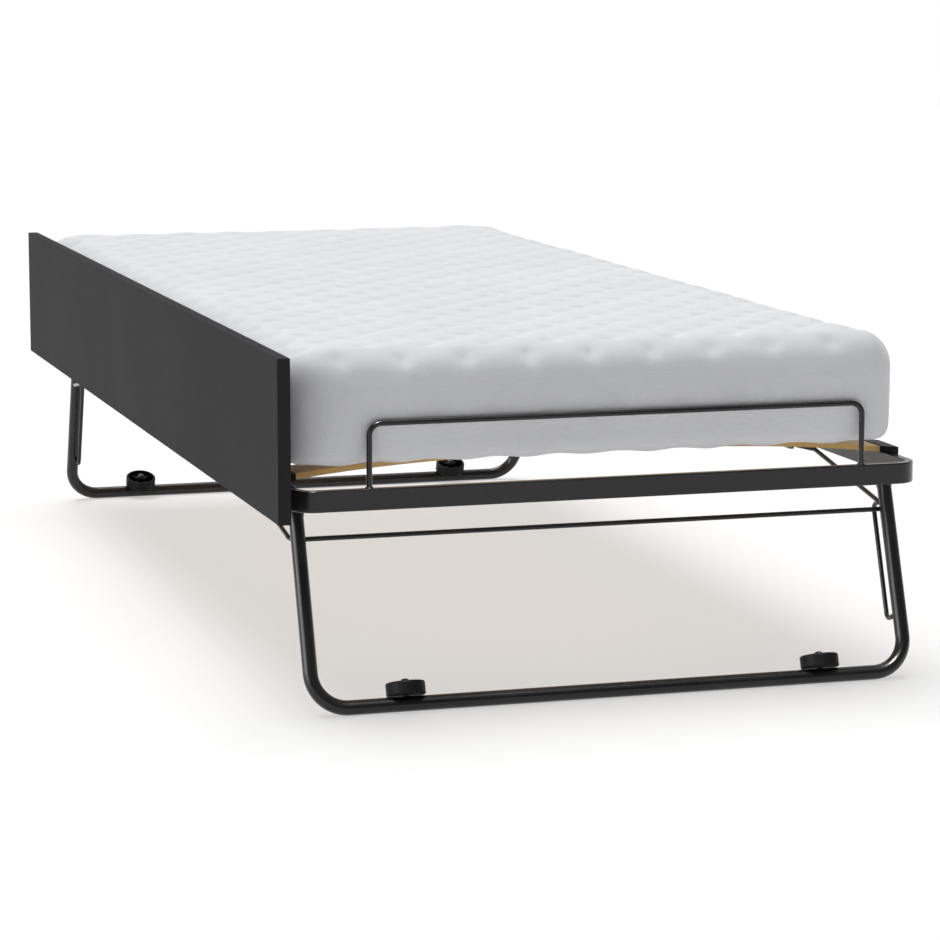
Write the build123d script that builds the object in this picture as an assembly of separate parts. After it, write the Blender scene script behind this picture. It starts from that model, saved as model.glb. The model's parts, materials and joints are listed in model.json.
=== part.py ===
from build123d import *
import math
import os

# Low single bed on two folding legs, with a board along one long side.
# Row frame: +X points away from the board, +Y from the foot end to the head end, +Z up.
# The origin is on the floor, under the middle of the whole object. All sizes in millimetres.

# ---- driving dimensions -------------------------------------------------------------------

# front board
BOARD_LENGTH = 2000.0
BOARD_HEIGHT = 224.0
BOARD_THICKNESS = 18.0
BOARD_BOTTOM = 279.0
BOARD_OUTER_X = -478.25

# steel frame of flat rectangular tube, standing on its narrow side
FRAME_WIDTH = 916.0
FRAME_LENGTH = 1900.0
FRAME_CENTRE_X = 14.75
FRAME_TOP = 314.5
TUBE_HEIGHT = 30.0
TUBE_THICKNESS = 12.0
TUBE_WALL = 1.5
TUBE_EDGE = 1.8
CORNER_RADIUS = 34.0

# sprung slats and the caps that hold their ends
SLAT_COUNT = 14
SLAT_WIDTH = 68.0
SLAT_THICKNESS = 8.0
SLAT_RISE = 20.9
SLAT_BOW = 2.7
SLAT_HALF_SPAN = 434.75
SLAT_INSERTION = 12.0
SLAT_BOTTOM = FRAME_TOP + 2.5
FIRST_SLAT_FROM_END = 125.5
CAP_LENGTH = 28.75
CAP_WIDTH = 75.0
CAP_SEAT_FROM_MOUTH = 11.2
CAP_LIP_FROM_MOUTH = 23.4
CAP_LIP_DEPTH = 3.5
CAP_MOUTH_HEIGHT = 11.8
CAP_OUTER_HEIGHT = 8.5

# mattress, which hangs over the head-end bar, and the wire hoop that stops it at the foot end
MATTRESS_LEFT = -454.25
MATTRESS_WIDTH = 904.0
MATTRESS_BOTTOM = FRAME_TOP + 32.0
MATTRESS_HEIGHT = 148.0
MATTRESS_EDGE = 35.0
HOOP_WIRE_RADIUS = 4.0
HOOP_HALF_SPAN = 360.5
HOOP_HEIGHT = 88.4
HOOP_BEND = 17.0
GAP_TO_HOOP = 0.5

# middle of the legs, braces, rollers and hoop, which are set off from the frame's middle
GEAR_CENTRE_X = 22.75

# folding leg: a U of round tube, splayed outwards
LEG_RADIUS = 10.5
LEG_WALL = 1.5
LEG_HALF_SPAN = 439.5
LEG_BEND = 50.0
LEG_FOOT_FROM_END = 11.2
LEG_SPLAY = math.radians(19.76)
PIVOT_HEIGHT = 265.6
LEG_PAST_PIVOT = 9.0
LEG_FOLD = math.pi / 2 + LEG_SPLAY

# pivot hardware
PIN_RADIUS = 4.0
RUNNING_CLEARANCE = 0.05
TAB_THICKNESS = 5.0
TAB_RADIUS = 8.0
TAB_NECK = 4.0
TAB_FLANGE = 3.0
TAB_FLANGE_REACH = 10.0
FORK_SLOT = 5.5
FORK_DEPTH = 9.0
PIN_HALF_LENGTH = 10.4

# brace: a U of wire whose middle runs behind both leg tubes
BRACE_RADIUS = 3.5
BRACE_ALONG_LEG = 238.9
BRACE_OFF_LEG = 14.7
BRACE_HALF_SPAN = 447.0
BRACE_SLOPE = math.radians(9.7)
BRACE_LENGTH = 350.0
BRACE_JOG_START = 280.0
BRACE_JOG_END = 304.0
BRACE_INNER_SPAN = 425.0
BRACE_PIN_END = 437.0

# track on the rail for the brace's end pin
TRACK_FACE = 433.0
TRACK_CLEARANCE = 0.5
TRACK_WALL = 4.5
TRACK_STEPS = 12

# wire that keeps the brace against the leg tube
KEEPER_RADIUS = 3.4
KEEPER_INBOARD = 5.5
KEEPER_OFF_LEG = 33.4
KEEPER_TOP = 249.0
KEEPER_BOTTOM = 80.0
KEEPER_BEND = 9.0

# rollers
WHEEL_RADIUS = 27.5
WHEEL_WIDTH = 19.0
WHEEL_RIM = 3.5
WHEEL_WEB = 3.0
WHEEL_HUB = 8.5
WHEEL_HUB_HEIGHT = 18.0
WHEEL_RIB_HEIGHT = 13.0
WHEEL_RIBS = 4
WHEEL_RIB_TURN = 52.0
WHEEL_FROM_CENTRE = 307.0
WHEEL_ABOVE_TUBE = 0.8
AXLE_RADIUS = 4.0
AXLE_HEAD_RADIUS = 6.5
AXLE_HEAD = 5.5
AXLE_HEAD_ROUNDING = 4.5

# brackets that carry the board
BRACKET_LENGTH = 45.0
BRACKET_THICKNESS = 2.5
BRACKET_HEIGHT = 36.0
BRACKET_PLACES = (-916.0, -403.0, 403.0, 916.0)
SCREW_RADIUS = 2.0
SCREW_LENGTH = 14.0
SCREW_HEAD_RADIUS = 4.2
SCREW_HEAD = 1.5
BOLT_RADIUS = 3.0
BOLT_LENGTH = 14.5
BOLT_HEAD_RADIUS = 5.2
BOLT_HEAD = 3.0

# ---- worked out from the driving dimensions -------------------------------------------------

FRAME_BOTTOM = FRAME_TOP - TUBE_HEIGHT
HALF_WIDTH = FRAME_WIDTH / 2
HALF_LENGTH = FRAME_LENGTH / 2
BOARD_INNER_X = BOARD_OUTER_X + BOARD_THICKNESS
BOARD_TOP = BOARD_BOTTOM + BOARD_HEIGHT
RAIL_LEFT_X = FRAME_CENTRE_X - HALF_WIDTH
FOOT_Y = -HALF_LENGTH + LEG_FOOT_FROM_END
LEG_REACH = (PIVOT_HEIGHT - LEG_RADIUS) / math.cos(LEG_SPLAY)
LEG_TOP = LEG_REACH + LEG_PAST_PIVOT
SLAT_PITCH = (FRAME_LENGTH - 2 * FIRST_SLAT_FROM_END) / (SLAT_COUNT - 1)
SLAT_PLACES = [-HALF_LENGTH + FIRST_SLAT_FROM_END + i * SLAT_PITCH for i in range(SLAT_COUNT)]
PIN_SLOPE_SHARE = BRACE_SLOPE / LEG_FOLD


# ---- helpers --------------------------------------------------------------------------------

def leg_point(x, along, off):
    """Point of the foot-end leg: along the leg from its floor tube, off it towards the bed's middle."""
    y = FOOT_Y + along * math.sin(LEG_SPLAY) + off * math.cos(LEG_SPLAY)
    z = LEG_RADIUS + along * math.cos(LEG_SPLAY) - off * math.sin(LEG_SPLAY)
    return Vector(x, y, z)


def leg_direction():
    return Vector(0, math.sin(LEG_SPLAY), math.cos(LEG_SPLAY))


def from_centre(side, distance):
    """X of something a distance from the middle of the legs, on side -1 (board) or +1."""
    return GEAR_CENTRE_X + side * distance


def from_rail_face(side, depth):
    """X of something a depth inwards from the outer face of a side rail."""
    return FRAME_CENTRE_X + side * (HALF_WIDTH - depth)


def to_head(shape):
    """The same piece at the head end."""
    return mirror(shape, about=Plane.XZ)


def rounded_path(points, radii):
    return FilletPolyline(*points, radius=radii)


def wire_along(path, radius):
    """Round bar along a path."""
    start = Plane(origin=path @ 0, z_dir=path % 0)
    return sweep(start * Circle(radius), path=path)


def bar_x(x_from, x_to, y, z, radius):
    """Round bar that lies along X."""
    low, high = min(x_from, x_to), max(x_from, x_to)
    place = Plane(origin=(low, y, z), x_dir=(0, 1, 0), z_dir=(1, 0, 0))
    return extrude(place * Circle(radius), amount=high - low)


def block(x_range, y_range, z_range):
    """Box between two corners."""
    size = [high - low for low, high in (x_range, y_range, z_range)]
    middle = [(high + low) / 2 for low, high in (x_range, y_range, z_range)]
    return Pos(*middle) * Box(*size)


def group(solids):
    return Compound(children=list(solids))


# ---- board and its brackets -----------------------------------------------------------------

def bracket_run(face_y):
    """Y range of the bracket whose closed face is at face_y; it opens towards the bed's middle."""
    inner_y = face_y - math.copysign(BRACKET_LENGTH, face_y)
    return min(face_y, inner_y), max(face_y, inner_y)


def bracket_middle(face_y):
    low, high = bracket_run(face_y)
    return (low + high) / 2


def bracket_screw_places():
    """Y and Z of the two screws of each bracket."""
    middle = BOARD_BOTTOM + BRACKET_HEIGHT / 2
    places = []
    for face_y in BRACKET_PLACES:
        for step in (-9, 9):
            places.append((bracket_middle(face_y), middle + step))
    return places


def bolt_height():
    return FRAME_BOTTOM + TUBE_HEIGHT / 2


def front_board():
    board = block(
        (BOARD_OUTER_X, BOARD_INNER_X),
        (-BOARD_LENGTH / 2, BOARD_LENGTH / 2),
        (BOARD_BOTTOM, BOARD_TOP),
    )
    board = chamfer(board.edges(), 0.8)
    for y, z in bracket_screw_places():
        board -= bar_x(BOARD_INNER_X - SCREW_LENGTH, BOARD_INNER_X, y, z, SCREW_RADIUS)
    return board


def panel_bracket(face_y):
    """Channel between board and rail: a closed face across the gap and a flange along each side."""
    z_range = (BOARD_BOTTOM, BOARD_BOTTOM + BRACKET_HEIGHT)
    y_range = bracket_run(face_y)
    face_inner = face_y - math.copysign(BRACKET_THICKNESS, face_y)
    bracket = block(
        (BOARD_INNER_X, RAIL_LEFT_X),
        (min(face_y, face_inner), max(face_y, face_inner)),
        z_range,
    )
    bracket += block((BOARD_INNER_X, BOARD_INNER_X + BRACKET_THICKNESS), y_range, z_range)
    bracket += block((RAIL_LEFT_X - BRACKET_THICKNESS, RAIL_LEFT_X), y_range, z_range)
    for y, z in bracket_screw_places():
        bracket -= bar_x(BOARD_INNER_X, BOARD_INNER_X + BRACKET_THICKNESS, y, z, SCREW_RADIUS)
    bolt_y = bracket_middle(face_y)
    return bracket - bar_x(RAIL_LEFT_X - BRACKET_THICKNESS, RAIL_LEFT_X, bolt_y, bolt_height(), BOLT_RADIUS)


def panel_screws():
    """Pan-head wood screws that hold the brackets on the board."""
    head_at = BOARD_INNER_X + BRACKET_THICKNESS
    screws = []
    for y, z in bracket_screw_places():
        shank = bar_x(BOARD_INNER_X - SCREW_LENGTH, head_at, y, z, SCREW_RADIUS)
        head = bar_x(head_at, head_at + SCREW_HEAD, y, z, SCREW_HEAD_RADIUS)
        screws.append(shank + head)
    return group(screws)


def bracket_bolts():
    """Button-head bolts through the brackets into the rail."""
    seat = RAIL_LEFT_X - BRACKET_THICKNESS
    bolts = []
    for face_y in BRACKET_PLACES:
        y = bracket_middle(face_y)
        shank = bar_x(seat, seat + BOLT_LENGTH, y, bolt_height(), BOLT_RADIUS)
        head = bar_x(seat - BOLT_HEAD, seat, y, bolt_height(), BOLT_HEAD_RADIUS)
        head = fillet(head.edges().group_by(Axis.X)[0], 1.5)
        bolts.append(shank + head)
    return group(bolts)


# ---- frame ----------------------------------------------------------------------------------

def frame_outline(inset):
    """Rounded rectangle set in from the frame's outer faces."""
    return RectangleRounded(
        FRAME_WIDTH - 2 * inset,
        FRAME_LENGTH - 2 * inset,
        CORNER_RADIUS - inset,
    )


def frame_ring():
    """The whole closed ring of rectangular tube, before it is parted into its four pieces."""
    place = Pos(FRAME_CENTRE_X, 0, FRAME_BOTTOM)
    ring = extrude(frame_outline(0) - frame_outline(TUBE_THICKNESS), amount=TUBE_HEIGHT)
    top_and_bottom = ring.edges().group_by(Axis.Z)[0] + ring.edges().group_by(Axis.Z)[-1]
    ring = fillet(top_and_bottom, TUBE_EDGE)
    core = extrude(
        frame_outline(TUBE_WALL) - frame_outline(TUBE_THICKNESS - TUBE_WALL),
        amount=TUBE_HEIGHT - 2 * TUBE_WALL,
    )
    return place * (ring - Pos(0, 0, TUBE_WALL) * core)


def side_rail(ring, side):
    """Straight rail between the bent ends."""
    reach = HALF_LENGTH - CORNER_RADIUS
    outer = from_rail_face(side, -1)
    inner = from_rail_face(side, 2 * TUBE_THICKNESS)
    zone = block(
        (min(outer, inner), max(outer, inner)),
        (-reach, reach),
        (FRAME_BOTTOM - 1, FRAME_TOP + 1),
    )
    rail = ring & zone
    if side < 0:
        bolt_end = RAIL_LEFT_X - BRACKET_THICKNESS + BOLT_LENGTH
        for face_y in BRACKET_PLACES:
            rail -= bar_x(RAIL_LEFT_X, bolt_end, bracket_middle(face_y), bolt_height(), BOLT_RADIUS)
    return rail


def end_bar(ring):
    """Foot-end bar with its two rounded corners."""
    zone = block(
        (RAIL_LEFT_X - 1, RAIL_LEFT_X + FRAME_WIDTH + 1),
        (-HALF_LENGTH - 1, -HALF_LENGTH + CORNER_RADIUS),
        (FRAME_BOTTOM - 1, FRAME_TOP + 1),
    )
    return ring & zone


def mattress_hoop():
    """Inverted U of wire that stands on the foot-end bar."""
    y = -HALF_LENGTH + TUBE_THICKNESS / 2
    left, right = from_centre(-1, HOOP_HALF_SPAN), from_centre(1, HOOP_HALF_SPAN)
    top = FRAME_TOP + HOOP_HEIGHT
    path = rounded_path(
        [(left, y, FRAME_TOP), (left, y, top), (right, y, top), (right, y, FRAME_TOP)],
        HOOP_BEND,
    )
    return wire_along(path, HOOP_WIRE_RADIUS)


# ---- slats ----------------------------------------------------------------------------------

def slat(y):
    """Bowed strip of laminated wood that runs on straight where it enters its caps."""
    shares = (-1.0, -0.85, -0.6, -0.3, 0.0, 0.3, 0.6, 0.85, 1.0)
    low = [
        (SLAT_HALF_SPAN * t, SLAT_BOTTOM + SLAT_RISE * (1 - abs(t) ** SLAT_BOW))
        for t in shares
    ]
    high = [(x, z + SLAT_THICKNESS) for x, z in low]
    end = SLAT_HALF_SPAN + SLAT_INSERTION
    bottom = SLAT_BOTTOM - end_drop(SLAT_INSERTION)
    top = bottom + SLAT_THICKNESS
    outline = Spline(*low)
    outline += Polyline(low[-1], (end, bottom), (end, top), high[-1])
    outline += Spline(*high)
    outline += Polyline(high[0], (-end, top), (-end, bottom), low[0])
    side = Plane(origin=(FRAME_CENTRE_X, y - SLAT_WIDTH / 2, 0), x_dir=(1, 0, 0), z_dir=(0, -1, 0))
    return extrude(side * make_face(outline), amount=-SLAT_WIDTH)


def end_drop(run):
    """How far the slat falls over a run past its cap's mouth."""
    return run * SLAT_RISE * SLAT_BOW / SLAT_HALF_SPAN


def slat_cap(side, y):
    """Moulded cap that sits on the rail, takes the end of a slat and has a lip at its outer end."""
    mouth = SLAT_HALF_SPAN
    end = mouth + CAP_LENGTH
    lip = mouth + CAP_LIP_FROM_MOUTH
    outline = Polyline(
        (mouth, FRAME_TOP + 1.5),
        (mouth + CAP_SEAT_FROM_MOUTH, FRAME_TOP),
        (lip, FRAME_TOP),
        (lip, FRAME_TOP - CAP_LIP_DEPTH),
        (end, FRAME_TOP - CAP_LIP_DEPTH),
        (end, FRAME_TOP + CAP_OUTER_HEIGHT),
        (mouth, FRAME_TOP + CAP_MOUTH_HEIGHT),
        close=True,
    )
    plane = Plane(origin=(0, y - CAP_WIDTH / 2, 0), x_dir=(1, 0, 0), z_dir=(0, -1, 0))
    cap = extrude(plane * make_face(outline), amount=-CAP_WIDTH)
    cap = fillet(cap.edges().filter_by(Axis.Z).group_by(Axis.X)[-1], 3)
    cap = chamfer(cap.edges().filter_by(Axis.Y).group_by(Axis.Z)[-1], 0.6)
    drop = end_drop(SLAT_INSERTION)
    pocket = Polyline(
        (mouth, SLAT_BOTTOM),
        (mouth + SLAT_INSERTION, SLAT_BOTTOM - drop),
        (mouth + SLAT_INSERTION, SLAT_BOTTOM - drop + SLAT_THICKNESS),
        (mouth, SLAT_BOTTOM + SLAT_THICKNESS),
        close=True,
    )
    pocket_plane = Plane(origin=(0, y - SLAT_WIDTH / 2, 0), x_dir=(1, 0, 0), z_dir=(0, -1, 0))
    cap -= extrude(pocket_plane * make_face(pocket), amount=-SLAT_WIDTH)
    if side < 0:
        cap = mirror(cap, about=Plane.YZ)
    return Pos(FRAME_CENTRE_X, 0, 0) * cap


def slat_caps(side):
    return group(slat_cap(side, y) for y in SLAT_PLACES)


# ---- legs -----------------------------------------------------------------------------------

def leg_path(top):
    """Middle line of the leg's U."""
    left, right = from_centre(-1, LEG_HALF_SPAN), from_centre(1, LEG_HALF_SPAN)
    points = [
        leg_point(left, top, 0),
        leg_point(left, 0, 0),
        leg_point(right, 0, 0),
        leg_point(right, top, 0),
    ]
    return rounded_path(points, LEG_BEND)


def wheel_places():
    return [from_centre(side, WHEEL_FROM_CENTRE) for side in (-1, 1)]


def leg_tube():
    """Bent tube whose ends hold the pivot tabs, with pivot bores and axle holes."""
    path = leg_path(LEG_TOP)
    tube = wire_along(path, LEG_RADIUS) - wire_along(path, LEG_RADIUS - LEG_WALL)
    pivot = leg_point(0, LEG_REACH, 0)
    for side in (-1, 1):
        middle = from_centre(side, LEG_HALF_SPAN)
        tube -= bar_x(
            middle - LEG_RADIUS - 1,
            middle + LEG_RADIUS + 1,
            pivot.Y,
            pivot.Z,
            PIN_RADIUS + RUNNING_CLEARANCE,
        )
        tube -= fork_slot(middle)
    for x in wheel_places():
        tube -= axle_shank(x)
    return tube


def fork_slot(x):
    """Slot in the half of the tube's upper end that faces the bed's middle, for the tab's neck."""
    start = Plane(
        origin=leg_point(x, LEG_REACH - FORK_DEPTH, LEG_RADIUS),
        x_dir=(1, 0, 0),
        z_dir=leg_direction(),
    )
    return extrude(start * Rectangle(FORK_SLOT, 2 * LEG_RADIUS), amount=FORK_DEPTH + LEG_PAST_PIVOT + 1)


def keeper(side):
    """Wire bow welded on the leg tube, which keeps the brace beside the tube."""
    x = from_centre(side, LEG_HALF_SPAN - KEEPER_INBOARD)
    points = [
        leg_point(x, KEEPER_TOP, 4),
        leg_point(x, KEEPER_TOP, KEEPER_OFF_LEG),
        leg_point(x, KEEPER_BOTTOM, KEEPER_OFF_LEG),
        leg_point(x, KEEPER_BOTTOM, 4),
    ]
    bow = wire_along(rounded_path(points, KEEPER_BEND), KEEPER_RADIUS)
    tube_x = from_centre(side, LEG_HALF_SPAN)
    start = Plane(origin=leg_point(tube_x, 60, 0), z_dir=leg_direction())
    return bow - extrude(start * Circle(LEG_RADIUS), amount=220)


# ---- pivot hardware -------------------------------------------------------------------------

def pivot_tab(side):
    """Plate that hangs from the rail into the open end of the leg tube."""
    pivot = leg_point(0, LEG_REACH, 0)
    near = from_centre(side, LEG_HALF_SPAN - TAB_THICKNESS / 2)
    far = from_centre(side, LEG_HALF_SPAN + TAB_THICKNESS / 2)
    flange_end = from_rail_face(side, 1)
    tab = block(
        (min(near, far), max(near, far)),
        (pivot.Y - TAB_NECK, pivot.Y + TAB_NECK),
        (pivot.Z, FRAME_BOTTOM),
    )
    tab += bar_x(near, far, pivot.Y, pivot.Z, TAB_RADIUS)
    tab += block(
        (min(near, flange_end), max(near, flange_end)),
        (pivot.Y - TAB_FLANGE_REACH, pivot.Y + TAB_FLANGE_REACH),
        (FRAME_BOTTOM - TAB_FLANGE, FRAME_BOTTOM),
    )
    return tab - bar_x(near, far, pivot.Y, pivot.Z, PIN_RADIUS)


def pivot_pin(side):
    """Flush rivet through tube and tab that the leg turns on."""
    pivot = leg_point(0, LEG_REACH, 0)
    inner = from_centre(side, LEG_HALF_SPAN - PIN_HALF_LENGTH)
    outer = from_centre(side, LEG_HALF_SPAN + PIN_HALF_LENGTH)
    return bar_x(inner, outer, pivot.Y, pivot.Z, PIN_RADIUS)


def both_sides_both_ends(make):
    """The same small piece at all four pivots."""
    foot = [make(side) for side in (-1, 1)]
    return group(foot + [to_head(piece) for piece in foot])


# ---- brace ----------------------------------------------------------------------------------

def brace_axis():
    """Middle of the brace's cross wire, about which it turns on the leg."""
    return leg_point(GEAR_CENTRE_X, BRACE_ALONG_LEG, BRACE_OFF_LEG)


def brace_point(side, span, reach):
    """Point of the brace: span from the middle, reach along its arm."""
    axis = brace_axis()
    y = axis.Y + reach * math.cos(BRACE_SLOPE)
    z = axis.Z + reach * math.sin(BRACE_SLOPE)
    return Vector(from_centre(side, span), y, z)


def brace():
    """U of wire: end pin, jog past the rail, long arm, cross wire and the same back."""
    arm = [
        (BRACE_PIN_END, BRACE_LENGTH),
        (BRACE_INNER_SPAN, BRACE_LENGTH),
        (BRACE_INNER_SPAN, BRACE_JOG_END),
        (BRACE_HALF_SPAN, BRACE_JOG_START),
        (BRACE_HALF_SPAN, 0),
    ]
    points = [brace_point(-1, span, reach) for span, reach in arm]
    points += [brace_point(1, span, reach) for span, reach in reversed(arm)]
    bends = [7.0, 12.0, 12.0, 13.0]
    path = rounded_path(points, bends + bends[::-1])
    return wire_along(path, BRACE_RADIUS)


def brace_pin_path():
    """Y and Z of the end pin while the leg folds, from standing to flat."""
    pivot = leg_point(0, LEG_REACH, 0)
    axis = brace_axis()
    arm_y, arm_z = axis.Y - pivot.Y, axis.Z - pivot.Z
    places = []
    for step in range(TRACK_STEPS + 1):
        fold = LEG_FOLD * step / TRACK_STEPS
        slope = BRACE_SLOPE - PIN_SLOPE_SHARE * fold
        y = pivot.Y + arm_y * math.cos(fold) - arm_z * math.sin(fold)
        z = pivot.Z + arm_y * math.sin(fold) + arm_z * math.cos(fold)
        places.append((y + BRACE_LENGTH * math.cos(slope), z + BRACE_LENGTH * math.sin(slope)))
    return places


def brace_track(side):
    """Block that fills the space up to the rail, with the curved slot that the end pin runs in."""
    places = brace_pin_path()
    slot_radius = BRACE_RADIUS + TRACK_CLEARANCE
    margin = slot_radius + TRACK_WALL
    near, far = from_centre(side, TRACK_FACE), from_rail_face(side, TUBE_THICKNESS)
    plane = Plane(origin=(min(near, far), 0, 0), x_dir=(0, 1, 0), z_dir=(1, 0, 0))
    y_low, y_high = min(y for y, z in places) - margin, max(y for y, z in places) + margin
    z_low, z_high = min(z for y, z in places) - margin, FRAME_TOP - TUBE_EDGE
    outline = Pos((y_low + y_high) / 2, (z_low + z_high) / 2) * RectangleRounded(
        y_high - y_low, z_high - z_low, 5
    )
    slot = Pos(*places[0]) * Circle(slot_radius)
    for start, end in zip(places, places[1:]):
        slot += Pos(*end) * Circle(slot_radius)
        slot += step_of_slot(start, end, slot_radius)
    return extrude(plane * (outline - slot), amount=abs(far - near))


def step_of_slot(start, end, radius):
    """Straight strip of the slot between two places of the pin."""
    length = math.dist(start, end)
    angle = math.degrees(math.atan2(end[1] - start[1], end[0] - start[0]))
    middle = ((start[0] + end[0]) / 2, (start[1] + end[1]) / 2)
    return Pos(*middle) * Rot(0, 0, angle) * Rectangle(length, 2 * radius)


# ---- rollers --------------------------------------------------------------------------------

def wheel_plane(x, above):
    """Plane across the wheel's axle, a distance above the top of the floor tube."""
    return Plane(
        origin=leg_point(x, LEG_RADIUS + above, 0),
        x_dir=(1, 0, 0),
        z_dir=leg_direction(),
    )


def axle_shank(x):
    """Shank from the far wall of the floor tube to the underside of the axle's head."""
    length = WHEEL_ABOVE_TUBE + WHEEL_HUB_HEIGHT + 0.3
    depth = 2 * LEG_RADIUS - LEG_WALL
    return extrude(wheel_plane(x, -depth) * Circle(AXLE_RADIUS), amount=depth + length)


def wheel_axles():
    """Rivets that the rollers turn on, with domed heads that stand out above the rims."""
    axles = []
    for x in wheel_places():
        seat = wheel_plane(x, WHEEL_ABOVE_TUBE + WHEEL_HUB_HEIGHT + 0.3)
        head = extrude(seat * Circle(AXLE_HEAD_RADIUS), amount=AXLE_HEAD)
        rim = head.edges().sort_by(Axis((0, 0, 0), tuple(leg_direction())))[-1]
        axles.append(axle_shank(x) + fillet(rim, AXLE_HEAD_ROUNDING))
    return group(axles)


def wheel(x):
    """Cup-shaped roller: rim, web at the tube side, hub and ribs between them."""
    rim = Cylinder(WHEEL_RADIUS, WHEEL_WIDTH, align=(Align.CENTER, Align.CENTER, Align.MIN))
    rim = fillet(rim.edges(), 2.5)
    well = Cylinder(
        WHEEL_RADIUS - WHEEL_RIM,
        WHEEL_WIDTH,
        align=(Align.CENTER, Align.CENTER, Align.MIN),
    )
    body = rim - Pos(0, 0, WHEEL_WEB) * well
    hub = Cylinder(WHEEL_HUB, WHEEL_HUB_HEIGHT, align=(Align.CENTER, Align.CENTER, Align.MIN))
    body += hub
    rib_reach = WHEEL_RADIUS - WHEEL_RIM + 0.5
    rib = Pos(rib_reach / 2, 0, WHEEL_RIB_HEIGHT / 2) * Box(rib_reach, 2.4, WHEEL_RIB_HEIGHT)
    for index in range(WHEEL_RIBS):
        body += Rot(0, 0, WHEEL_RIB_TURN + index * 360 / WHEEL_RIBS) * rib
    body -= Pos(0, 0, -1) * Cylinder(
        AXLE_RADIUS + RUNNING_CLEARANCE,
        WHEEL_WIDTH + 2,
        align=(Align.CENTER, Align.CENTER, Align.MIN),
    )
    return wheel_plane(x, WHEEL_ABOVE_TUBE) * body


# ---- mattress -------------------------------------------------------------------------------

def mattress():
    """Plain solid in the mattress's place, from the hoop to the head end of the board."""
    foot_end = -HALF_LENGTH + TUBE_THICKNESS / 2 + HOOP_WIRE_RADIUS + GAP_TO_HOOP
    body = block(
        (MATTRESS_LEFT, MATTRESS_LEFT + MATTRESS_WIDTH),
        (foot_end, BOARD_LENGTH / 2),
        (MATTRESS_BOTTOM, MATTRESS_BOTTOM + MATTRESS_HEIGHT),
    )
    body = fillet(body.edges().filter_by(Axis.Z), MATTRESS_EDGE + 5)
    return fillet(body.edges().group_by(Axis.Z)[-1], MATTRESS_EDGE)


# ---- all nodes ------------------------------------------------------------------------------

def build_nodes():
    nodes = {"front_board": front_board()}
    for index, face_y in enumerate(BRACKET_PLACES, start=1):
        nodes[f"panel_bracket_{index}"] = panel_bracket(face_y)
    nodes["panel_screws"] = panel_screws()
    nodes["bracket_bolts"] = bracket_bolts()

    ring = frame_ring()
    nodes["side_rail_left"] = side_rail(ring, -1)
    nodes["side_rail_right"] = side_rail(ring, 1)
    nodes["end_bar_foot"] = end_bar(ring)

    for index, y in enumerate(SLAT_PLACES, start=1):
        nodes[f"slat_{index:02d}"] = slat(y)
    nodes["slat_caps_left"] = slat_caps(-1)
    nodes["slat_caps_right"] = slat_caps(1)

    nodes["leg_foot"] = leg_tube()
    nodes["wheel_axles_foot"] = wheel_axles()
    nodes["brace_foot"] = brace()
    for name, side, x in zip(("left", "right"), (-1, 1), wheel_places()):
        nodes[f"pivot_tab_foot_{name}"] = pivot_tab(side)
        nodes[f"keeper_foot_{name}"] = keeper(side)
        nodes[f"brace_track_foot_{name}"] = brace_track(side)
        nodes[f"wheel_foot_{name}"] = wheel(x)
    for name in [key for key in nodes if "_foot" in key]:
        nodes[name.replace("_foot", "_head")] = to_head(nodes[name])
    nodes["pivot_pins"] = both_sides_both_ends(pivot_pin)

    nodes["mattress_hoop"] = mattress_hoop()
    nodes["mattress"] = mattress()
    return nodes


os.makedirs("parts", exist_ok=True)
for node_name, shape in build_nodes().items():
    export_step(shape, f"parts/{node_name}.step")
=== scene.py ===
import json
import math
import bmesh
import bpy
from mathutils import Matrix, Vector, noise


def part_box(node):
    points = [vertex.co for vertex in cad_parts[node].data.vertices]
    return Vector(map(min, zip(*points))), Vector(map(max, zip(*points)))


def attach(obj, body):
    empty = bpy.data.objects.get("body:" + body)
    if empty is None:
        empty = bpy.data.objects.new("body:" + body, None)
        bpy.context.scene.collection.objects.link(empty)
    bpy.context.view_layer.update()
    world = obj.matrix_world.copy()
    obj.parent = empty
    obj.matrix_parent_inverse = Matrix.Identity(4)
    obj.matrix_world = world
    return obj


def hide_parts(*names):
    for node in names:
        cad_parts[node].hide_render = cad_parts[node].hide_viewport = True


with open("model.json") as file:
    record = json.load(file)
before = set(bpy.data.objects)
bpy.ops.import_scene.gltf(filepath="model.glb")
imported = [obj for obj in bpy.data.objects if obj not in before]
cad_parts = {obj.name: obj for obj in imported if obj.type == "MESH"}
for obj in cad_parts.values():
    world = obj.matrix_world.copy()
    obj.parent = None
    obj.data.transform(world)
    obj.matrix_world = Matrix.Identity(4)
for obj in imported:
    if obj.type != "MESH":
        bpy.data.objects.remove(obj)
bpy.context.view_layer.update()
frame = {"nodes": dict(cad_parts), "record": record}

# ---- camera, lights and floor ---------------------------------------------------------------

CAMERA_PLACE = (-1.4983, -5.2620, 1.0504)
CAMERA_FORWARD = (0.2853, 0.9455, -0.1571)
SENSOR_WIDTH = 36.0
FOCAL_LENGTH = 128.0
FLOOR_REACH = 14.0
DIM_FRONT = 0.088
BRIGHT_BACK = 0.62


def add_camera():
    data = bpy.data.cameras.new("camera")
    data.sensor_width = SENSOR_WIDTH
    data.lens = FOCAL_LENGTH
    camera = bpy.data.objects.new("camera", data)
    bpy.context.scene.collection.objects.link(camera)
    camera.location = CAMERA_PLACE
    camera.rotation_euler = Vector(CAMERA_FORWARD).to_track_quat("-Z", "Y").to_euler()
    bpy.context.scene.camera = camera


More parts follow.
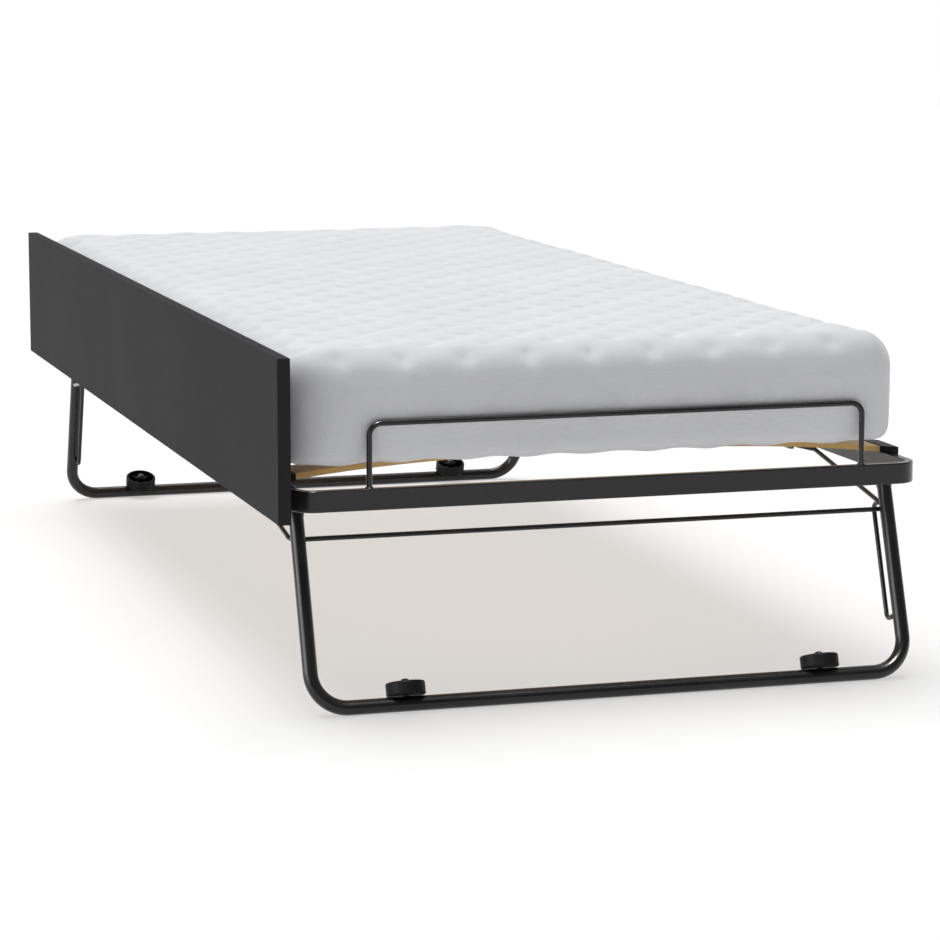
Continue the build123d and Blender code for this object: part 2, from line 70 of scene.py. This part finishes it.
def add_sun(name, direction, strength, angle, gloss_only=False):
    """Soft sun along a direction; one that is gloss_only shows in highlights alone."""
    data = bpy.data.lights.new(name, "SUN")
    data.energy = strength
    data.angle = math.radians(angle)
    light = bpy.data.objects.new(name, data)
    bpy.context.scene.collection.objects.link(light)
    light.rotation_euler = Vector(direction).to_track_quat("-Z", "Y").to_euler()
    light.visible_diffuse = not gloss_only


def add_world():
    """White surroundings: bright from behind the bed, dim from the front, plain white as a backdrop."""
    world = bpy.data.worlds.new("studio")
    world.use_nodes = True
    bpy.context.scene.world = world
    nodes, links = world.node_tree.nodes, world.node_tree.links
    background = nodes["Background"]
    place = nodes.new("ShaderNodeTexCoord")
    split = nodes.new("ShaderNodeSeparateXYZ")
    links.new(place.outputs["Generated"], split.inputs["Vector"])
    depth = nodes.new("ShaderNodeMapRange")
    limits = {"From Min": -0.9, "From Max": 0.6, "To Min": DIM_FRONT, "To Max": BRIGHT_BACK}
    for name, value in limits.items():
        depth.inputs[name].default_value = value
    links.new(split.outputs["Y"], depth.inputs["Value"])
    path = nodes.new("ShaderNodeLightPath")
    strength = nodes.new("ShaderNodeMix")
    strength.data_type = "FLOAT"
    links.new(path.outputs["Is Camera Ray"], strength.inputs["Factor"])
    links.new(depth.outputs["Result"], strength.inputs["A"])
    strength.inputs["B"].default_value = 1.0
    links.new(strength.outputs["Result"], background.inputs["Strength"])
    background.inputs["Color"].default_value = (1.0, 1.0, 1.0, 1.0)


def add_studio():
    bpy.context.scene.view_settings.view_transform = "Standard"
    add_world()
    add_sun("light_top", (0.12, -0.28, -1.0), 2.4, 44)
    add_sun("light_left", (1.0, 0.0, -0.25), 0.36, 26)
    add_sun("gloss_left", (1.0, 0.23, -0.15), 2.2, 50, gloss_only=True)
    add_sun("gloss_top", (0.1, 0.36, -0.94), 7.0, 15, gloss_only=True)


def add_floor(material):
    mesh = bpy.data.meshes.new("floor")
    corners = [(x * FLOOR_REACH, y * FLOOR_REACH, 0) for x, y in ((-1, -1), (1, -1), (1, 1), (-1, 1))]
    mesh.from_pydata(corners, [], [(0, 1, 2, 3)])
    floor = bpy.data.objects.new("floor", mesh)
    bpy.context.scene.collection.objects.link(floor)
    mesh.materials.append(material)


# ---- materials ------------------------------------------------------------------------------


class Surface:
    """Small helper that builds one procedural material."""

    def __init__(self, name):
        self.material = bpy.data.materials.new(name)
        self.material.use_nodes = True
        self.tree = self.material.node_tree
        self.shader = self.tree.nodes["Principled BSDF"]
        self.place = self.add("ShaderNodeTexCoord").outputs["Object"]

    def add(self, kind, **settings):
        node = self.tree.nodes.new(kind)
        for key, value in settings.items():
            setattr(node, key, value)
        return node

    def link(self, source, target):
        self.tree.links.new(source, target)

    def set(self, **values):
        for key, value in values.items():
            self.shader.inputs[key.replace("_", " ")].default_value = value

    def scaled(self, scale):
        mapping = self.add("ShaderNodeMapping")
        mapping.inputs["Scale"].default_value = scale
        self.link(self.place, mapping.inputs["Vector"])
        return mapping.outputs["Vector"]

    def noise(self, scale, detail=3.0, stretch=None, rough=0.5, distortion=0.0):
        node = self.add("ShaderNodeTexNoise")
        node.inputs["Scale"].default_value = scale
        node.inputs["Detail"].default_value = detail
        node.inputs["Roughness"].default_value = rough
        node.inputs["Distortion"].default_value = distortion
        self.link(self.scaled(stretch) if stretch else self.place, node.inputs["Vector"])
        return node.outputs["Fac"]

    def ramp(self, factor, low, high, start=0.3, end=0.7):
        node = self.add("ShaderNodeValToRGB")
        node.color_ramp.elements[0].position = start
        node.color_ramp.elements[1].position = end
        node.color_ramp.elements[0].color = (*low, 1.0)
        node.color_ramp.elements[1].color = (*high, 1.0)
        self.link(factor, node.inputs["Fac"])
        return node.outputs["Color"]

    def spread(self, factor, low, high, start=0.3, end=0.7):
        node = self.add("ShaderNodeMapRange")
        node.inputs["From Min"].default_value = start
        node.inputs["From Max"].default_value = end
        node.inputs["To Min"].default_value = low
        node.inputs["To Max"].default_value = high
        self.link(factor, node.inputs["Value"])
        return node.outputs["Result"]

    def math(self, operation, a, b=None):
        node = self.add("ShaderNodeMath", operation=operation)
        for socket, value in zip(node.inputs, (a, b)):
            if value is None:
                continue
            if isinstance(value, (int, float)):
                socket.default_value = value
            else:
                self.link(value, socket)
        return node.outputs["Value"]

    def mix(self, factor, a, b):
        node = self.add("ShaderNodeMix", data_type="RGBA", blend_type="MIX")
        sockets = [s for s in node.inputs if s.enabled]
        for socket, value in zip(sockets, (factor, a, b)):
            if isinstance(value, (int, float)):
                socket.default_value = value
            elif isinstance(value, tuple):
                socket.default_value = (*value, 1.0)
            else:
                self.link(value, socket)
        return [s for s in node.outputs if s.enabled][0]

    def bump(self, height, depth, below=None):
        node = self.add("ShaderNodeBump")
        node.inputs["Strength"].default_value = 1.0
        node.inputs["Distance"].default_value = depth
        self.link(height, node.inputs["Height"])
        if below is not None:
            self.link(below, node.inputs["Normal"])
        return node.outputs["Normal"]

    def finish(self, colour, roughness, normal=None):
        for name, source in (("Base Color", colour), ("Roughness", roughness), ("Normal", normal)):
            if source is not None:
                self.link(source, self.shader.inputs[name])
        return self.material


SLAT_MIDDLE_X = 0.01475
SLAT_HALF_SPAN = 0.43475
SLAT_REST_Z = 0.317
SLAT_CROWN = 0.0209
CROWN_POWER = 2.7
PLY_THICKNESS = 0.0027


def powder_coat():
    s = Surface("powder_coat_black")
    s.set(Specular_IOR_Level=0.3, Coat_Weight=0.7, Coat_IOR=1.25, Coat_Roughness=0.12)
    cloud = s.noise(9.0, 4.0)
    peel = s.noise(900.0, 2.0)
    speckle = s.noise(2600.0, 1.0)
    colour = s.ramp(cloud, (0.0095, 0.0092, 0.0094), (0.0145, 0.014, 0.0142))
    colour = s.mix(s.spread(speckle, 0.0, 0.35, 0.5, 0.8), colour, (0.026, 0.025, 0.025))
    rough = s.math("ADD", s.spread(cloud, 0.22, 0.29), s.spread(peel, -0.02, 0.05))
    fine = s.bump(speckle, 0.00002)
    return s.finish(colour, rough, s.bump(peel, 0.00009, fine))


def board_face():
    s = Surface("board_anthracite")
    s.set(Specular_IOR_Level=0.03)
    cloud = s.noise(3.0, 4.0)
    grain = s.noise(420.0, 3.0, (1.0, 0.35, 1.0))
    pore = s.noise(1400.0, 2.0)
    colour = s.ramp(cloud, (0.0250, 0.0245, 0.0266), (0.0300, 0.0295, 0.0320))
    colour = s.mix(s.spread(pore, 0.0, 0.3, 0.45, 0.75), colour, (0.036, 0.036, 0.038))
    rough = s.math("ADD", s.spread(cloud, 0.50, 0.57), s.spread(grain, -0.03, 0.06))
    fine = s.bump(pore, 0.00003)
    return s.finish(colour, rough, s.bump(grain, 0.00008, fine))


def slat_wood():
    """Bent plywood: its glue lines follow the bow of the slat, its figure runs along it."""
    s = Surface("slat_wood")
    s.set(Specular_IOR_Level=0.45)
    split = s.add("ShaderNodeSeparateXYZ")
    s.link(s.place, split.inputs["Vector"])
    from_middle = s.math("SUBTRACT", split.outputs["X"], SLAT_MIDDLE_X)
    across = s.math("ABSOLUTE", s.math("DIVIDE", from_middle, SLAT_HALF_SPAN))
    crown = s.math("MULTIPLY", s.math("SUBTRACT", 1.0, s.math("POWER", across, CROWN_POWER)), SLAT_CROWN)
    level = s.math("SUBTRACT", s.math("SUBTRACT", split.outputs["Z"], SLAT_REST_Z), crown)
    ply = s.math("SINE", s.math("MULTIPLY", level, 2 * math.pi / PLY_THICKNESS))
    figure = s.noise(6.0, 6.0, (0.9, 14.0, 3.0), 0.6, 1.2)
    streak = s.noise(26.0, 5.0, (0.5, 22.0, 9.0), 0.65, 0.4)
    fibre = s.noise(160.0, 3.0, (0.25, 9.0, 9.0))
    colour = s.ramp(figure, (0.62, 0.37, 0.115), (0.80, 0.53, 0.20), 0.25, 0.75)
    colour = s.mix(s.spread(streak, 0.0, 0.5, 0.45, 0.75), colour, (0.52, 0.29, 0.08))
    colour = s.mix(s.spread(fibre, 0.0, 0.3, 0.5, 0.8), colour, (0.84, 0.60, 0.28))
    colour = s.mix(s.spread(ply, 0.0, 0.35, 0.55, 1.0), colour, (0.40, 0.215, 0.06))
    rough = s.math("ADD", s.spread(streak, 0.36, 0.46), s.spread(fibre, -0.03, 0.05))
    return s.finish(colour, rough, s.bump(fibre, 0.00006, s.bump(streak, 0.00012)))


def moulded_plastic():
    s = Surface("plastic_black")
    s.set(Specular_IOR_Level=0.12)
    cloud = s.noise(30.0, 3.0)
    texture = s.noise(1800.0, 2.0)
    colour = s.ramp(cloud, (0.007, 0.007, 0.008), (0.011, 0.011, 0.012))
    rough = s.math("ADD", s.spread(cloud, 0.42, 0.5), s.spread(texture, -0.04, 0.06))
    return s.finish(colour, rough, s.bump(texture, 0.00005))


def bright_steel():
    s = Surface("steel_bright")
    s.set(Metallic=1.0)
    cloud = s.noise(220.0, 4.0)
    scratch = s.noise(900.0, 3.0, (1.0, 1.0, 7.0))
    colour = s.ramp(cloud, (0.42, 0.42, 0.43), (0.6, 0.6, 0.61))
    rough = s.math("ADD", s.spread(cloud, 0.26, 0.36), s.spread(scratch, -0.04, 0.08))
    return s.finish(colour, rough, s.bump(scratch, 0.00003))


def knitted_cover():
    s = Surface("cover_knit_white")
    s.set(Specular_IOR_Level=0.2, Sheen_Weight=0.25, Sheen_Roughness=0.5)
    cloud = s.noise(5.0, 4.0)
    lint = s.noise(240.0, 3.0)
    wales = s.add("ShaderNodeTexWave", wave_type="BANDS", bands_direction="X", wave_profile="SIN")
    courses = s.add("ShaderNodeTexWave", wave_type="BANDS", bands_direction="Y", wave_profile="SIN")
    for node, scale in ((wales, 190.0), (courses, 260.0)):
        node.inputs["Scale"].default_value = scale
        node.inputs["Distortion"].default_value = 1.2
        node.inputs["Detail"].default_value = 1.0
        s.link(s.place, node.inputs["Vector"])
    knit = s.math("MULTIPLY", wales.outputs["Fac"], courses.outputs["Fac"])
    colour = s.ramp(cloud, (0.74, 0.745, 0.765), (0.79, 0.795, 0.815))
    colour = s.mix(s.spread(knit, 0.25, 0.0, 0.0, 0.5), colour, (0.64, 0.65, 0.68))
    colour = s.mix(s.spread(lint, 0.0, 0.2, 0.5, 0.8), colour, (0.86, 0.86, 0.87))
    rough = s.spread(lint, 0.82, 0.95)
    return s.finish(colour, rough, s.bump(knit, 0.00025, s.bump(lint, 0.0002)))


def floor_paint():
    """Pale studio floor with a little light of its own, so that shadows stay soft."""
    s = Surface("floor_pale")
    s.set(Specular_IOR_Level=0.1, Emission_Color=(1.0, 1.0, 1.0, 1.0), Emission_Strength=0.50)
    cloud = s.noise(0.8, 3.0)
    colour = s.ramp(cloud, (0.44, 0.44, 0.44), (0.47, 0.47, 0.47))
    return s.finish(colour, s.spread(cloud, 0.75, 0.85))


def dress(materials):
    """Gives every CAD node the surface of its material slot."""
    slots = {part["node"]: part["material_slot"] for part in frame["record"]["subparts"]}
    for node, slot in slots.items():
        mesh = frame["nodes"][node].data
        mesh.materials.clear()
        mesh.materials.append(materials[slot])


# ---- mattress -------------------------------------------------------------------------------

GRID = 0.012
TOP_RADIUS = 0.046
BOTTOM_RADIUS = 0.022
CORNER_RADIUS = 0.048
GAP_BELOW = 0.0005
PUFF_ABOVE = 0.001

CLOTH_STEPS = 12
CLOTH_REACH = 0.005

PITCH_X, PITCH_Y = 0.0897, 0.0955
DIMPLE_X, DIMPLE_Y = -0.013, -0.7256
DIMPLE_DEPTH = 0.0064
DIMPLE_SHARPNESS = 2.0
SWELL = 0.0007
UNEVENNESS = 0.0012
SIDE_FOLD = 0.0006
UNDERSIDE_WAVE = 0.0012
FIRST_SLAT_Y = 0.862
DROOP = 0.0045
DROOP_WAVE = 0.0018


def rounded_block(low, high, step, radius_top, radius_bottom, radius_corner):
    """Closed quad mesh of a block with even spacing, its edges and corners rounded."""
    counts = [max(2, round((b - a) / step)) for a, b in zip(low, high)]
    mesh = bmesh.new()
    seen = {}

    def vertex(i, j, k):
        key = (i, j, k)
        if key not in seen:
            spot = [a + (b - a) * n / c for a, b, n, c in zip(low, high, key, counts)]
            seen[key] = mesh.verts.new(round_off(Vector(spot), low, high, radius_top,
                                                 radius_bottom, radius_corner))
        return seen[key]

    nx, ny, nz = counts
    for fixed, limit, u_count, v_count in ((0, nx, ny, nz), (1, ny, nx, nz), (2, nz, nx, ny)):
        for end in (0, limit):
            for u in range(u_count):
                for v in range(v_count):
                    ring = []
                    for du, dv in ((0, 0), (1, 0), (1, 1), (0, 1)):
                        spot = [u + du, v + dv]
                        spot.insert(fixed, end)
                        ring.append(vertex(*spot))
                    mesh.faces.new(ring)
    bmesh.ops.recalc_face_normals(mesh, faces=mesh.faces)
    return mesh


def round_off(spot, low, high, radius_top, radius_bottom, radius_corner):
    """Pulls a point of the sharp block onto the rounded one."""
    middle_z = (low[2] + high[2]) / 2
    radius = radius_top if spot.z > middle_z else radius_bottom
    core = Vector((
        min(max(spot.x, low[0] + radius_corner), high[0] - radius_corner),
        min(max(spot.y, low[1] + radius_corner), high[1] - radius_corner),
    ))
    side = Vector((spot.x - core.x, spot.y - core.y))
    reach = max(abs(side.x), abs(side.y))
    if side.length > 1e-9:
        side = side.normalized() * reach
    near_z = min(max(spot.z, low[2] + radius_bottom), high[2] - radius_top)
    out = Vector((side.length, spot.z - near_z))
    start = radius_corner - radius
    over = Vector((max(0.0, out.x - start), out.y))
    if over.x > 0 and over.y != 0:
        size = max(over.x, abs(over.y))
        over = over.normalized() * size
        flat = start + over.x
        side = side.normalized() * flat
        return Vector((core.x + side.x, core.y + side.y, near_z + over.y))
    return Vector((core.x + side.x, core.y + side.y, spot.z))


def swell_at(x, y):
    """Staggered pattern from -1 to 1, with one of its highs at a dimple of the foam core."""
    wave_x = math.cos(2 * math.pi * (x - DIMPLE_X) / PITCH_X)
    wave_y = math.cos(2 * math.pi * (y - DIMPLE_Y) / PITCH_Y)
    return wave_x * wave_y


def soften(piece, low, high):
    """Cloth under light pressure, held close to its start, then applied."""
    start = [v.co.copy() for v in piece.data.vertices]
    cloth = piece.modifiers.new("cloth", "CLOTH")
    settings = cloth.settings
    settings.quality = 4
    settings.mass = 0.3
    settings.tension_stiffness = 40
    settings.compression_stiffness = 40
    settings.shear_stiffness = 20
    settings.bending_stiffness = 4
    settings.use_pressure = True
    settings.uniform_pressure_force = 2.5
    settings.effector_weights.gravity = 0
    cloth.collision_settings.use_self_collision = False
    scene = bpy.context.scene
    for step in range(1, CLOTH_STEPS + 1):
        scene.frame_set(step)
    graph = bpy.context.evaluated_depsgraph_get()
    shaped = piece.evaluated_get(graph).data
    moved = [v.co.copy() for v in shaped.vertices]
    piece.modifiers.remove(cloth)
    scene.frame_set(1)
    for vertex, before, after in zip(piece.data.vertices, start, moved):
        shift = after - before
        if shift.length > CLOTH_REACH:
            shift = shift.normalized() * CLOTH_REACH
        spot = before + shift
        spot.y = min(max(spot.y, low[1]), high[1])
        spot.z = max(spot.z, low[2])
        vertex.co = spot


def add_mattress(material):
    """Padded cover that stands for the plain block of the CAD."""
    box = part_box("mattress")
    low, high = list(box[0]), list(box[1])
    low[2] += GAP_BELOW
    high[2] += PUFF_ABOVE
    mesh = rounded_block(low, high, GRID, TOP_RADIUS, BOTTOM_RADIUS, CORNER_RADIUS)
    data = bpy.data.meshes.new("mattress_cover")
    mesh.to_mesh(data)
    mesh.free()
    piece = bpy.data.objects.new("mattress_cover", data)
    bpy.context.scene.collection.objects.link(piece)
    soften(piece, low, high)
    refine(piece)
    ripple(piece, low, high)
    data = piece.data
    data.materials.append(material)
    for face in data.polygons:
        face.use_smooth = True
    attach(piece, "mattress")
    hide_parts("mattress")


def refine(piece):
    """Replaces the mesh by one twice as fine, smoothed."""
    modifier = piece.modifiers.new("fine", "SUBSURF")
    modifier.levels = 1
    modifier.render_levels = 1
    graph = bpy.context.evaluated_depsgraph_get()
    fine = bpy.data.meshes.new_from_object(piece.evaluated_get(graph))
    piece.modifiers.clear()
    old = piece.data
    piece.data = fine
    bpy.data.meshes.remove(old)
    fine.name = "mattress_cover"


def smooth_step(value, start, end):
    """0 before start, 1 after end, and an even rise between them."""
    share = min(max((value - start) / (end - start), 0.0), 1.0)
    return share * share * (3 - 2 * share)


def ripple(piece, low, high):
    """Waves of the foam core that show through the cover, and slight unevenness everywhere."""
    data = piece.data
    normals = [v.normal.copy() for v in data.vertices]
    middle_z = (low[2] + high[2]) / 2
    for vertex, normal in zip(data.vertices, normals):
        spot = vertex.co
        swell = swell_at(spot.x, spot.y)
        uneven = noise.noise(spot * 7.0) * UNEVENNESS
        flat = abs(normal.z) ** 1.5
        side = 1.0 - flat
        fold = math.sin(2 * math.pi * (spot.x + spot.y) / PITCH_X)
        shift = side * (SIDE_FOLD * (fold - 1.0) + 0.4 * uneven)
        droop = 0.0
        if spot.z > middle_z:
            dimple = DIMPLE_DEPTH * max(0.0, swell) ** DIMPLE_SHARPNESS
            shift += flat * (uneven - dimple) - flat * SWELL * swell
        else:
            hang = smooth_step(abs(spot.y), FIRST_SLAT_Y, FIRST_SLAT_Y + 0.03)
            low_share = smooth_step(middle_z - spot.z, 0.0, 0.06)
            droop = hang * low_share * (DROOP + DROOP_WAVE * swell)
            shift += flat * UNDERSIDE_WAVE * (swell - 1.0) * (1.0 - hang)
        vertex.co = spot + normal * shift
        vertex.co.z -= droop


# ---- weld beads -----------------------------------------------------------------------------

LEG_RADIUS = 0.0105
LEG_LEAN = math.radians(19.76)
KEEPER_ENDS = (0.080, 0.249)
KEEPER_SEAT = 0.0092
KEEPER_BEAD = (0.0036, 0.0013)
HOOP_BEAD_GAP = 0.0004
HOOP_BEAD_LIFT = 0.0005
HOOP_BEAD_THICKNESS = 0.0016
BEAD_AROUND, BEAD_SECTION = 40, 10


def add_bead(mesh, centre, axis, ring, thickness, seed):
    """Lumpy ring of weld around a rod where it meets a tube."""
    turn = Vector(axis).to_track_quat("Z", "Y").to_matrix().to_4x4()
    place = Matrix.Translation(centre) @ turn
    loops = []
    for i in range(BEAD_AROUND):
        angle = 2 * math.pi * i / BEAD_AROUND
        lump = 1.0 + 0.22 * noise.noise(Vector((math.cos(angle) * 3, math.sin(angle) * 3, seed)))
        lump *= 1.0 + 0.07 * math.cos(angle * 14)
        loop = []
        for j in range(BEAD_SECTION):
            section_angle = 2 * math.pi * j / BEAD_SECTION
            r = ring + thickness * lump * math.cos(section_angle)
            z = thickness * lump * 0.8 * math.sin(section_angle)
            loop.append(mesh.verts.new(place @ Vector((r * math.cos(angle), r * math.sin(angle), z))))
        loops.append(loop)
    for i in range(BEAD_AROUND):
        for j in range(BEAD_SECTION):
            ahead, beside = (i + 1) % BEAD_AROUND, (j + 1) % BEAD_SECTION
            mesh.faces.new((loops[i][j], loops[ahead][j], loops[ahead][beside], loops[i][beside]))


def finish_piece(name, mesh, material, body):
    """Turns the mesh into a smooth piece that rides on a body."""
    bmesh.ops.recalc_face_normals(mesh, faces=mesh.faces)
    data = bpy.data.meshes.new(name)
    mesh.to_mesh(data)
    mesh.free()
    for face in data.polygons:
        face.use_smooth = True
    data.materials.append(material)
    piece = bpy.data.objects.new(name, data)
    bpy.context.scene.collection.objects.link(piece)
    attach(piece, body)


def add_hoop_welds(material):
    """Beads where the two legs of the mattress hoop stand on the end bar."""
    low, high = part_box("mattress_hoop")
    mesh = bmesh.new()
    y = (low[1] + high[1]) / 2
    radius = (high[1] - low[1]) / 2
    for index, x in enumerate((low[0] + radius, high[0] - radius)):
        spot = Vector((x, y, low[2] + HOOP_BEAD_LIFT))
        add_bead(mesh, spot, (0, 0, 1), radius + HOOP_BEAD_GAP, HOOP_BEAD_THICKNESS, index + 2.5)
    finish_piece("weld_hoop", mesh, material, "frame")


def leg_spot(end, x, along, off):
    """Point of a leg: along it from its floor tube, off it towards the bed's middle."""
    low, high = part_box(f"leg_{end}")
    towards = 1 if end == "foot" else -1
    start = low[1] + LEG_RADIUS if end == "foot" else high[1] - LEG_RADIUS
    y = start + towards * (along * math.sin(LEG_LEAN) + off * math.cos(LEG_LEAN))
    z = low[2] + LEG_RADIUS + along * math.cos(LEG_LEAN) - off * math.sin(LEG_LEAN)
    return Vector((x, y, z))


def add_keeper_welds(end, material):
    """Beads where the two ends of each keeper wire meet the leg tube."""
    mesh = bmesh.new()
    for index, side in enumerate(("left", "right")):
        low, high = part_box(f"keeper_{end}_{side}")
        x = (low[0] + high[0]) / 2
        out = leg_spot(end, x, 0.1, 1.0) - leg_spot(end, x, 0.1, 0.0)
        for along in KEEPER_ENDS:
            spot = leg_spot(end, x, along, KEEPER_SEAT)
            add_bead(mesh, spot, out, *KEEPER_BEAD, index * 7 + along * 20)
    finish_piece(f"weld_keeper_{end}", mesh, material, f"leg_{end}")


# ---- build ----------------------------------------------------------------------------------

add_camera()
add_studio()
add_floor(floor_paint())

coat = powder_coat()
MATERIALS = {
    "board": board_face(),
    "frame_steel": coat,
    "bright_steel": bright_steel(),
    "slat_wood": slat_wood(),
    "black_plastic": moulded_plastic(),
    "mattress_cloth": knitted_cover(),
}
dress(MATERIALS)
add_mattress(MATERIALS["mattress_cloth"])
add_hoop_welds(coat)
for end_name in ("foot", "head"):
    add_keeper_welds(end_name, coat)
